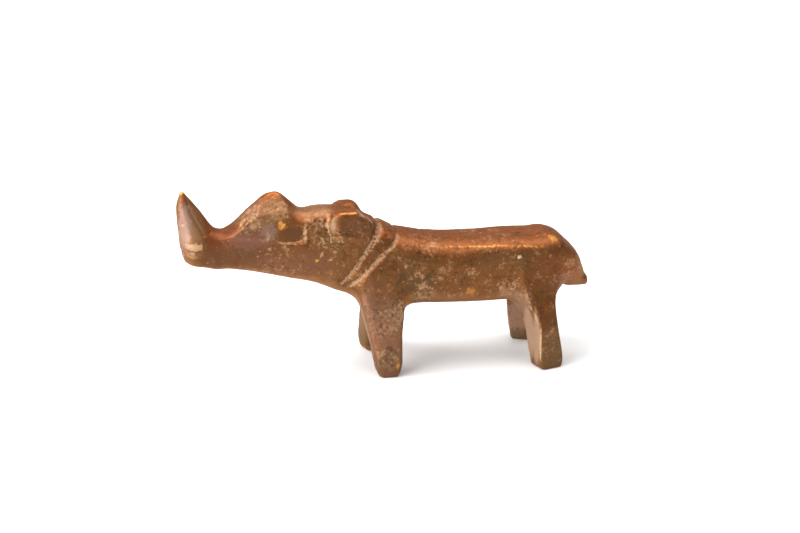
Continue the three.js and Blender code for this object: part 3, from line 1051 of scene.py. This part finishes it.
# The patches that lie in the patina, and those that also cover worn edges, as rows for the patch class.
# Most are stains; the rows marked below are painted light and shade.
PATINA_STAINS_AND_LIGHT = (
    ("#5a3722", (-27.0, -3.0, 24.0), (8.0, 3.0, 4.0), 0.75, 0.5),
    ("#835b46", (-1.2, -7.6, 8.0), (3.4, 3.2, 8.5), 0.6, 1.4),
    ("#6f4731", (-18.0, -4.4, 21.3), (9.0, 2.0, 2.6), 0.6, 0.6),
    ("#80583a", (-25.0, -2.4, 29.9), (2.8, 2.4, 2.2), 0.8, 1.2),
    ("#5d4a30", (28.6, -9.4, 3.0), (3.6, 2.6, 4.2), 0.5, 1.4),
    ("#854720", (33.5, -3.0, 17.5), (3.4, 3.6, 3.6), 0.6, 1.0),
    ("#7a3c1c", (-30.2, -2.6, 26.2), (3.8, 2.8, 1.9), 0.55),
    # Painted sheen: a grey-mauve reflection on the side of the head, in front of the eye.
    ("#8d7466", (-22.0, -3.7, 27.6), (1.7, 2.0, 2.0), 0.5, 1.8),
    ("#7c5548", (-25.5, -3.5, 26.2), (4.6, 2.2, 2.0), 0.45, 1.8),
    ("#b5846a", (-24.6, -3.5, 28.5), (0.6, 0.7, 0.45), 0.6, 3.0, True),
    ("#a98a72", (-22.0, -4.0, 26.7), (0.35, 0.7, 0.8), 0.5, 4.0, True),
    ("#8c6548", (-35.4, -1.9, 28.2), (2.4, 2.4, 5.5), 0.65, 0.9),
    ("#bc9870", (-35.3, -3.1, 25.2), (1.7, 1.8, 0.7), 0.75, 1.6),
    ("#9a7a54", (-36.0, -2.9, 23.5), (1.5, 1.8, 0.6), 0.55, 1.8),
    ("#93776a", (-36.8, -1.6, 28.5), (1.4, 2.2, 5.2), 0.7, 1.2),
    ("#8f6543", (-20.6, -2.6, 31.2), (2.9, 2.0, 2.4), 0.75, 1.0),
    ("#805840", (-24.2, -1.0, 31.0), (1.9, 2.6, 2.6), 0.7, 1.2),
    ("#a05a22", (-20.6, -0.6, 33.6), (1.9, 1.6, 0.7), 0.75, 1.2),
    ("#9c6c4c", (-14.2, -0.6, 30.6), (4.6, 3.8, 1.3), 0.7, 1.2),
    ("#c98b40", (-19.7, -3.7, 28.7), (0.7, 1.1, 1.0), 0.85, 2.0, True),
    # Painted shade in the eye socket.
    ("#553620", (-17.8, -3.9, 27.0), (2.3, 0.8, 1.6), 0.6, 0.8),
    ("#a48a72", (-10.4, -5.3, 28.5), (0.6, 1.2, 1.3), 0.45, 1.6),
    # Painted shade in each ear's hollow, under its rim.
    ("#553420", (-6.6, -5.2, 28.1), (3.2, 1.4, 2.0), 0.5, 1.0),
    ("#4c3018", (-3.2, -5.8, 21.6), (3.0, 2.0, 4.6), 0.3, 1.0),
    ("#3f3823", (4.6, -6.8, 17.4), (4.6, 2.4, 2.0), 0.5, 3.6, True),
    ("#86693f", (5.6, -6.6, 14.2), (3.4, 1.6, 1.2), 0.4, 2.4),
    ("#b0742f", (14.6, -6.5, 15.0), (1.0, 1.0, 0.9), 0.65, 4.0, True),
    ("#d8bd98", (23.6, -6.4, 21.0), (0.36, 0.7, 0.42), 0.9, 1.8, True),
    ("#8f6b4c", (22.2, -6.2, 13.4), (3.2, 1.8, 1.3), 0.6, 2.2),
    # Painted light on the far hind leg's inner face, which lies in shade.
    ("#a9846c", (26.5, 6.4, 5.5), (2.6, 3.4, 6.4), 0.8, 1.0, True),
    ("#5a4a2c", (27.4, 6.8, 1.0), (3.2, 3.4, 1.8), 0.55, 1.2, True),
    ("#c98a3c", (30.5, -4.2, 23.6), (0.9, 1.2, 0.8), 0.85, 2.0),
    ("#b09a20", (-13.4, -4.75, 21.9), (0.36, 0.6, 0.34), 0.9, 2.2, True),
    ("#5c4733", (-1.4, -9.2, 2.6), (3.0, 2.4, 3.4), 0.5, 1.2),
    ("#b8782c", (0.7, -9.2, 2.3), (0.4, 0.8, 0.8), 0.75, 2.6, True),
    ("#a8622a", (2.9, -6.6, 14.0), (0.8, 1.7, 1.1), 0.55, 2.4),
    ("#5f5033", (-2.2, 6.6, 5.5), (3.6, 3.6, 7.0), 0.5, 1.0, True),
    # Painted shade on the side of the rump, beside the tail.
    ("#6b3313", (30.6, -5.6, 19.5), (2.2, 1.8, 3.8), 0.4, 1.4),
    # Painted bounce light from the floor on the tail's lower facet.
    ("#8c5f40", (34.6, -2.0, 14.3), (2.6, 1.6, 0.9), 0.5, 1.2),
    # Painted reflection along the upper edge of the tail's tip.
    ("#a5703f", (35.6, -1.6, 16.6), (1.6, 1.8, 2.2), 0.5, 1.6),
)

COVERING_STAINS_AND_LIGHT = (
    # These two rows are painted light: a pale pink band on the nape behind the near ear.
    ("#d2a98e", (-5.0, -4.1, 30.2), (1.6, 1.5, 0.7), 0.75, 1.2, True),
    ("#d2a98e", (-3.4, -3.4, 28.9), (1.5, 1.9, 0.8), 0.75, 1.2, True),
    # Painted shade on the back of the near ear.
    ("#52301d", (-4.4, -5.5, 28.2), (1.5, 1.3, 1.1), 0.6, 1.0, True),
    ("#8f6d52", (24.4, -6.8, 12.2), (1.6, 2.6, 2.8), 0.8, 1.6, True),
    ("#ab8b73", (25.4, -7.2, 6.4), (1.1, 2.2, 7.6), 0.85, 0.7, True),
    ("#a8886f", (26.3, -9.5, 5.0), (0.8, 1.7, 6.6), 0.85, 0.5, True),
    # Painted highlight down the front edge of the near hind leg.
    ("#c9a77c", (27.0, -10.4, 4.1), (0.22, 0.5, 5.2), 0.7, 0.8, True),
    # Painted highlight above the front edge of the near hind leg.
    ("#b08c60", (26.2, -9.3, 11.2), (0.26, 0.8, 1.8), 0.5, 0.8, True),
    ("#7b5642", (-4.0, -6.4, 11.0), (1.8, 2.8, 7.5), 0.75, 0.8),
)


@dataclass(frozen=True)
class Coat:
    """One layer of colour: it thickens to top as weighted patterns add up from start to end."""

    colour: str
    weights: dict[str, float]
    start: float
    end: float
    top: float = 1.0


@dataclass
class Painter:
    """Builds up a material's colour, coat by coat, where its patterns say.

    The patterns are noises from 0 to 1 and the numbers that the mesh carries, by name.
    """

    tree: NodeTree
    place: Node
    colour: Source
    patterns: dict[str, Source] = field(default_factory=dict)
    patch_edge: Span = (1.15, 0.6)
    patch_noise: tuple[tuple[str, float], ...] = (("mottle", 0.8), ("specks", 1.2))

    def weigh(self, weights: dict[str, float], start: float = 0.0) -> Node:
        """Adds patterns up.

        Args:
            weights: how much of each pattern is added.
            start: what they are added to.

        Returns:
            The weighted sum.
        """
        total = start
        for name, weight in weights.items():
            inputs = {0: self.patterns[name], 1: weight, 2: total}
            total = add_node(self.tree, "ShaderNodeMath", inputs, operation="MULTIPLY_ADD")
        return total

    def lay(self, coat: Coat) -> Node:
        """Lays a coat over the colour.

        Args:
            coat: the coat.

        Returns:
            How thick the coat is, from 0 to 1.
        """
        limits = {0: self.weigh(coat.weights), 1: coat.start, 2: coat.end, 3: 0.0, 4: coat.top}
        share = add_node(self.tree, "ShaderNodeMapRange", limits, interpolation_type="SMOOTHSTEP")
        inputs = {0: share, 6: self.colour, 7: linear(coat.colour)}
        self.colour = add_node(self.tree, "ShaderNodeMix", inputs, data_type="RGBA").outputs[2]
        return share

    def patch(self, patches: tuple[tuple, ...]) -> None:
        """Lays patches over the colour, stains and painted light and shade, with edges that the noise
        breaks up.

        Args:
            patches: a row for each patch, in order.
        """
        axes = add_node(self.tree, "ShaderNodeSeparateXYZ", {0: self.place})
        side = add_node(self.tree, "ShaderNodeMath", {0: axes.outputs[1]}, operation="ABSOLUTE")
        near = add_node(self.tree, "ShaderNodeMath", {0: side, 1: NEAR}, operation="MULTIPLY")
        mirrored = add_node(self.tree, "ShaderNodeCombineXYZ", {0: axes, 1: near, 2: axes.outputs[2]})
        self.patterns["noise"] = self.weigh(dict(self.patch_noise), -1.0)
        for patch in (ColourPatch(*row) for row in patches):
            offset = self.place if patch.one_side else mirrored
            for value, operation in ((patch.centre, "SUBTRACT"), (patch.size, "DIVIDE")):
                inputs = {0: offset, 1: value}
                offset = add_node(self.tree, "ShaderNodeVectorMath", inputs, operation=operation)
            length = add_node(self.tree, "ShaderNodeVectorMath", {0: offset}, operation="LENGTH")
            self.patterns["length"] = length.outputs["Value"]
            weights = {"noise": patch.ragged, "length": 1.0}
            self.lay(Coat(patch.colour, weights, *self.patch_edge, patch.strength))


@dataclass(frozen=True)
class OldBrass:
    """Cast brass, handled and oxidised brown: a soft metal sheen, warm where it is rubbed bare.

    Lost-wax casting leaves a slightly pitted, rippled skin. Years of handling polish the ridges
    to gold, and pale dust stays in the pits and the grooves; on the eyes' lower and rear walls the
    pale is part dust and part painted light. Faces that look up get painted light from above, and
    faces that look down a painted bounce from the floor; some patches are painted light and shade
    too. Each noise has a name, a width in millimetres and a number of finer layers.
    """

    name: str = "cast_brass_brown_patina"
    side_brown: str = "#683f1e"
    reflection_warm: str = "#f0dac4"
    metallic: float = 0.62
    roughness: float = 0.46
    worn_roughness: float = 0.33
    dust_roughness: float = 0.85
    uneven: float = 0.16
    noises: tuple[tuple[str, float, float], ...] = (
        ("clouds", 6.5, 3.0),
        ("mottle", 1.9, 4.0),
        ("specks", 0.55, 3.0),
        ("grain", 0.2, 2.0),
        ("drift", 1.5, 1.0),
    )
    noise_roughness: float = 0.55
    readings: tuple[str, ...] = ("ridge", "up", "groove", "rough", "rubbed")
    patina: tuple[Coat, ...] = (
        Coat("#5f4426", {"clouds": 1.0}, 0.48, 0.62, 0.5),
        # Painted light from above: faces that look up get a warmer, lighter brown.
        Coat("#814620", {"mottle": 0.5, "up": 1.0}, 0.45, 1.15),
        Coat("#83593a", {"specks": 0.6, "mottle": 1.0}, 0.84, 1.02, 0.6),
        Coat("#52321b", {"specks": 0.6, "mottle": 1.0}, 0.77, 0.6, 0.55),
        # Painted bounce light from the floor: faces that look down get a lighter brown.
        Coat("#96633c", {"mottle": 0.3, "up": -1.0}, 0.3, 0.8, 0.6),
    )
    worn: Coat = Coat(
        "#c6863f",
        {"mottle": 1.4, "specks": 2.6, "ridge": 8.0, "rubbed": 1.6, "groove": -8.0},
        start=3.2,
        end=4.2,
        top=0.75,
    )
    marks: tuple[Coat, ...] = (
        Coat("#b39470", {"rough": 0.2, "mottle": 0.3, "specks": 0.7, "grain": 0.5}, 0.93, 1.07, 0.58),
        Coat("#2f1b0d", {"rough": -0.12, "mottle": 0.5, "specks": 1.0}, 0.59, 0.46, 0.5),
        Coat("#9a7658", {"rough": 0.25, "mottle": 0.6, "specks": 0.6}, 0.74, 0.92, 0.42),
        Coat("#a5835a", {"scratch": -12.0, "rough": 0.12, "clouds": 0.8, "specks": 1.0}, 0.97, 1.1, 0.55),
    )
    # Pale dust in the grooves and scores; on the eyes' lower and rear walls the same coat is part painted
    # light.
    dust: Coat = Coat(
        "#a07d5d",
        {"mottle": 1.0, "specks": 5.5, "grain": 4.5, "ridge": -8.0, "groove": 1.7},
        start=6.8,
        end=7.7,
        top=0.85,
    )
    pits: Coat = Coat("#2f1b0d", {"grain": 0.5, "specks": 1.0}, 0.48, 0.41, 0.8)
    relief: dict[str, float] = field(
        default_factory=lambda: {"grain": 0.012, "specks": 0.026, "mottle": 0.035, "pits": -0.08}
    )

    def build(self) -> Material:
        """Makes the material with its patina, its painted light and shade, wear, dust and pits.

        Returns:
            The material.
        """
        material = bpy.data.materials.new(self.name)
        material.use_nodes = True
        tree = material.node_tree
        tree.nodes.clear()
        inputs = {0: add_node(tree, "ShaderNodeTexCoord").outputs["Object"], "Scale": 1.0 / MM}
        place = add_node(tree, "ShaderNodeVectorMath", inputs, operation="SCALE")
        ground = add_node(tree, "ShaderNodeRGB")
        ground.outputs[0].default_value = linear(self.side_brown)
        painter = Painter(tree, place, ground, self.patterns(tree, place))
        for coat in self.patina:
            painter.lay(coat)
        painter.patch(PATINA_STAINS_AND_LIGHT)
        worn = painter.lay(self.worn)
        painter.patch(COVERING_STAINS_AND_LIGHT)
        for coat in self.marks:
            painter.lay(coat)
        dust = painter.lay(self.dust)
        painter.patterns["pits"] = painter.lay(self.pits)
        bare = {0: worn, 2: self.roughness, 3: self.worn_roughness}
        painter.patterns["bare"] = add_node(tree, "ShaderNodeMix", bare)
        uneven = painter.weigh({"bare": 1.0, "specks": self.uneven}, -0.5 * self.uneven)
        rough = add_node(tree, "ShaderNodeMix", {0: dust, 2: uneven, 3: self.dust_roughness})
        metal = add_node(tree, "ShaderNodeMix", {0: dust, 2: self.metallic, 3: 0.0})
        height = painter.weigh(self.relief)
        bump = add_node(tree, "ShaderNodeBump", {"Height": height, "Distance": MM, "Strength": 1.0})
        surface = {"Base Color": painter.colour, "Metallic": metal, "Roughness": rough, "Normal": bump}
        surface["Specular Tint"] = linear(self.reflection_warm)
        shader = add_node(tree, "ShaderNodeBsdfPrincipled", surface)
        add_node(tree, "ShaderNodeOutputMaterial", {"Surface": shader})
        return material

    def patterns(self, tree: NodeTree, place: Node) -> dict[str, Source]:
        """Makes the patterns that the coats are laid by.

        Args:
            tree: the material's node tree.
            place: the place on the figure, in millimetres.

        Returns:
            The patterns by name.
        """
        patterns = {}
        for name, width, detail in self.noises:
            inputs = {"Vector": place, "Scale": 1.0 / width, "Detail": detail}
            inputs["Roughness"] = self.noise_roughness
            patterns[name] = add_node(tree, "ShaderNodeTexNoise", inputs)
        for name in self.readings:
            patterns[name] = add_node(tree, "ShaderNodeAttribute", attribute_name=name).outputs["Fac"]
        away = add_node(tree, "ShaderNodeMath", {0: patterns["drift"], 1: 0.5}, operation="SUBTRACT")
        patterns["scratch"] = add_node(tree, "ShaderNodeMath", {0: away}, operation="ABSOLUTE")
        return patterns


@dataclass
class CastSkin:
    """The uneven skin that the mould leaves: soft ripples, a finer grain and open pits.

    Lengths are in millimetres. Each depth is a whole one, from a crest or the rim to the bottom.
    The skin fades in from bare_height to full_height, so that the soles stay flat.
    """

    ripple_width: float = 3.0
    ripple_depth: float = 0.12
    dent_width: float = 1.1
    dent_depth: float = 0.07
    rough_width: float = 0.75
    rough_depth: float = 0.32
    pit_share: float = 0.36
    pit_core: float = 0.25
    pit_width: float = 0.8
    pit_depth: float = 0.14
    bare_height: float = 0.3
    full_height: float = 1.2
    seed: float = 7.0

    def sizes(self) -> dict[str, float]:
        """Turns the sizes into the tree's named inputs.

        Returns:
            The values by name, lengths in metres.
        """
        sizes = {}
        for name, value in vars(self).items():
            unit = 1.0 if name in ("pit_share", "pit_core", "seed") else MM
            sizes[name.replace("_", " ").title()] = value * unit
        return sizes

    def tree(self, material: Material) -> NodeTree:
        """Builds the node tree that works the skin and dresses it.

        Args:
            material: what the piece is dressed in.

        Returns:
            The tree, with an input for each size.
        """
        tree = bpy.data.node_groups.new("cast_skin", "GeometryNodeTree")
        tree.interface.new_socket("Geometry", in_out="INPUT", socket_type="NodeSocketGeometry")
        for name in self.sizes():
            tree.interface.new_socket(name, in_out="INPUT", socket_type="NodeSocketFloat")
        tree.interface.new_socket("Geometry", in_out="OUTPUT", socket_type="NodeSocketGeometry")
        given = add_node(tree, "NodeGroupInput").outputs
        place = add_node(tree, "GeometryNodeInputPosition")
        smooth = {"interpolation_type": "SMOOTHSTEP"}

        ripple = self.wave(tree, given, "Ripple", given["Ripple Depth"])
        dent = self.wave(tree, given, "Dent", given["Dent Depth"])
        rough = add_node(tree, "GeometryNodeInputNamedAttribute", {0: "rough"})
        deep = add_node(tree, "ShaderNodeMath", {0: rough, 1: given["Rough Depth"]}, operation="MULTIPLY")
        coarse = self.wave(tree, given, "Rough", deep)

        density = add_node(tree, "ShaderNodeMath", {0: 1.0, 1: given["Pit Width"]}, operation="DIVIDE")
        inputs = {"Vector": place, "Scale": density, "W": given["Seed"], "Detail": 1.0}
        holes = add_node(tree, "ShaderNodeTexNoise", inputs, noise_dimensions="4D")
        inputs = {0: holes, 1: given["Pit Share"], 2: given["Pit Core"], 3: 0.0, 4: 1.0}
        pit = add_node(tree, "ShaderNodeMapRange", inputs, **smooth)
        sink = add_node(tree, "ShaderNodeMath", {0: pit, 1: given["Pit Depth"]}, operation="MULTIPLY")

        height = add_node(tree, "ShaderNodeSeparateXYZ", {0: place}).outputs[2]
        inputs = {0: height, 1: given["Bare Height"], 2: given["Full Height"], 3: 0.0, 4: 1.0}
        off_floor = add_node(tree, "ShaderNodeMapRange", inputs, **smooth)
        steps = ((dent, "ADD"), (coarse, "ADD"), (sink, "SUBTRACT"), (off_floor, "MULTIPLY"))
        total = ripple
        for value, operation in steps:
            total = add_node(tree, "ShaderNodeMath", {0: total, 1: value}, operation=operation)

        normal = add_node(tree, "GeometryNodeInputNormal")
        move = add_node(tree, "ShaderNodeVectorMath", {0: normal, "Scale": total}, operation="SCALE")
        inputs = {"Geometry": given["Geometry"], "Offset": move}
        moved = add_node(tree, "GeometryNodeSetPosition", inputs)
        solid = add_node(tree, "GeometryNodeRealizeInstances", {0: moved})
        inputs = {"Geometry": solid, "Material": material}
        dressed = add_node(tree, "GeometryNodeSetMaterial", inputs)
        add_node(tree, "NodeGroupOutput", {0: dressed})
        return tree

    @staticmethod
    def wave(
        tree: NodeTree,
        given: NodeOutputs,
        name: str,
        depth: Source,
    ) -> Node:
        """Makes a rise and fall of up to half the depth each way.

        Args:
            tree: the node tree.
            given: the tree's inputs.
            name: the first word of the input that has the wave's width.
            depth: the wave's depth, in metres.

        Returns:
            The height at each place, in metres.
        """
        place = add_node(tree, "GeometryNodeInputPosition")
        scale = add_node(tree, "ShaderNodeMath", {0: 1.0, 1: given[name + " Width"]}, operation="DIVIDE")
        inputs = {"Vector": place, "Scale": scale, "W": given["Seed"], "Detail": 1.5}
        noise = add_node(tree, "ShaderNodeTexNoise", inputs, noise_dimensions="4D")
        middle = add_node(tree, "ShaderNodeMath", {0: noise, 1: 0.5}, operation="SUBTRACT")
        return add_node(tree, "ShaderNodeMath", {0: middle, 1: depth}, operation="MULTIPLY")

    def work(self, piece: Object, material: Material) -> None:
        """Works the skin into the piece's own mesh.

        Args:
            piece: the piece.
            material: what it is dressed in.
        """
        tree = self.tree(material)
        modifier = piece.modifiers.new("cast_skin", "NODES")
        modifier.node_group = tree
        values = self.sizes()
        for item in tree.interface.items_tree:
            if item.in_out == "INPUT" and item.name in values:
                modifier[item.identifier] = values[item.name]
        graph = bpy.context.evaluated_depsgraph_get()
        worked = bpy.data.meshes.new_from_object(piece.evaluated_get(graph))
        piece.modifiers.remove(modifier)
        piece.data = worked


@dataclass
class Casting:
    """The finished brass figure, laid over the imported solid."""

    figure: WaxFigure = field(default_factory=WaxFigure)
    modeller: Modeller = field(default_factory=Modeller)
    skin: CastSkin = field(default_factory=CastSkin)
    finish: OldBrass = field(default_factory=OldBrass)

    def fit(self, corners: np.ndarray) -> np.ndarray:
        """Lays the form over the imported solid, by its length and the middle of its foot.

        Args:
            corners: places in millimetres.

        Returns:
            The same places in metres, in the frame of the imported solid.
        """
        low, high = (np.array(corner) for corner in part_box(NODE))
        own_low, own_high = corners.min(axis=0), corners.max(axis=0)
        scale = (high[0] - low[0]) / (own_high[0] - own_low[0])
        foot = (own_low + own_high) / 2.0
        foot[2] = own_low[2]
        target = (low + high) / 2.0
        target[2] = low[2]
        return (corners - foot) * scale + target

    def build(self) -> Object:
        """Builds the piece and dresses it.

        Returns:
            The piece.
        """
        corners, faces = self.modeller.build(self.figure)
        LOG.info("worked form: %d corners, %d faces", len(corners), len(faces))
        survey = Surveyor(corners, faces)
        mesh = bpy.data.meshes.new(NODE + "_casting")
        mesh.from_pydata(self.fit(corners).tolist(), [], faces.tolist())
        mesh.polygons.foreach_set("use_smooth", np.ones(len(faces), dtype=bool))
        readings = {
            "ridge": survey.swell(rounds=4),
            # Which way each corner faces up; coats paint light from above and bounce from the floor by it
            "up": survey.normals()[:, 2],
            # Dust in the grooves and scores, and the eyes' pale walls, which are part painted light
            "groove": self.figure.dust_share(corners),
            "rough": self.figure.rough_share(corners),
            "rubbed": self.figure.rubbed_share(corners),
        }
        for name, values in readings.items():
            attribute = mesh.attributes.new(name, "FLOAT", "POINT")
            attribute.data.foreach_set("value", values.astype(np.float32))
        mesh.update()
        piece = bpy.data.objects.new("rhinoceros_casting", mesh)
        bpy.context.scene.collection.objects.link(piece)
        self.skin.work(piece, self.finish.build())
        return piece


@dataclass
class Studio:
    """A white light tent: a pale floor, a big soft light above and one from the left.

    Each light has a name, a place and a side in metres, and a power in watts.
    """

    lens: float = 100.0
    azimuth: float = -10.0
    elevation: float = 19.0
    distance: float = 409.0
    aim: Triple = (2.65, 0.0, 18.25)
    tent_strength: float = 0.42
    lights: tuple[tuple[str, Triple, float, float], ...] = (
        ("overhead", (0.1, 0.1, 0.9), 1.0, 10.0),
        ("left", (-0.8, -0.2, 0.36), 1.2, 26.0),
    )
    floor_half: float = 3.0
    paper_colour: tuple[float, ...] = (0.82, 0.82, 0.82, 1.0)
    paper_roughness: float = 0.9

    def camera(self) -> None:
        """Sets the camera at the photograph's viewing angle."""
        turn = math.radians(self.azimuth)
        rise = math.radians(self.elevation)
        back = Vector((math.sin(turn) * math.cos(rise), -math.cos(turn) * math.cos(rise), math.sin(rise)))
        data = bpy.data.cameras.new("camera")
        data.lens = self.lens
        data.clip_start = 0.01
        data.dof.use_dof = False
        camera = bpy.data.objects.new("camera", data)
        camera.location = (Vector(self.aim) + back * self.distance) * MM
        camera.rotation_euler = back.to_track_quat("Z", "Y").to_euler()
        bpy.context.scene.collection.objects.link(camera)
        bpy.context.scene.camera = camera

    def light(self, name: str, place: Triple, size: float, power: float) -> None:
        """Hangs one square soft light, aimed at the figure.

        Args:
            name: the light's name.
            place: where it hangs, in metres.
            size: its side, in metres.
            power: its power, in watts.
        """
        data = bpy.data.lights.new(name, "AREA")
        data.size = size
        data.energy = power
        light = bpy.data.objects.new(name, data)
        light.location = place
        light.rotation_euler = Vector(place).to_track_quat("Z", "Y").to_euler()
        bpy.context.scene.collection.objects.link(light)

    def surroundings(self) -> None:
        """Fills the tent with even, neutral white light, and shows the colours as they are."""
        world = bpy.data.worlds.new("tent")
        world.use_nodes = True
        background = world.node_tree.nodes["Background"]
        background.inputs["Color"].default_value = (1.0, 1.0, 1.0, 1.0)
        background.inputs["Strength"].default_value = self.tent_strength
        bpy.context.scene.world = world
        bpy.context.scene.view_settings.view_transform = "Standard"

    def floor(self) -> None:
        """Lays the pale floor that the figure stands on, matt so that it has no sheen."""
        half = self.floor_half
        mesh = bpy.data.meshes.new("floor")
        corners = [(-half, -half, 0), (half, -half, 0), (half, half, 0), (-half, half, 0)]
        mesh.from_pydata(corners, [], [(0, 1, 2, 3)])
        material = bpy.data.materials.new("matt_white_paper")
        material.use_nodes = True
        shader = material.node_tree.nodes["Principled BSDF"]
        shader.inputs["Base Color"].default_value = self.paper_colour
        shader.inputs["Roughness"].default_value = self.paper_roughness
        mesh.materials.append(material)
        floor = bpy.data.objects.new("floor", mesh)
        bpy.context.scene.collection.objects.link(floor)

    def build(self) -> None:
        """Sets up the camera, the lights and the floor."""
        self.camera()
        self.surroundings()
        for light in self.lights:
            self.light(*light)
        self.floor()


def main() -> None:
    """Builds the studio and the figure, and names what the figure stands for."""
    logging.basicConfig(level=logging.INFO, format="%(name)s: %(message)s")
    Studio().build()
    piece = Casting().build()
    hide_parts(NODE)
    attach(piece, BODY)
    LOG.info("dressed %s", piece.name)


if __name__ == "__main__":
    main()
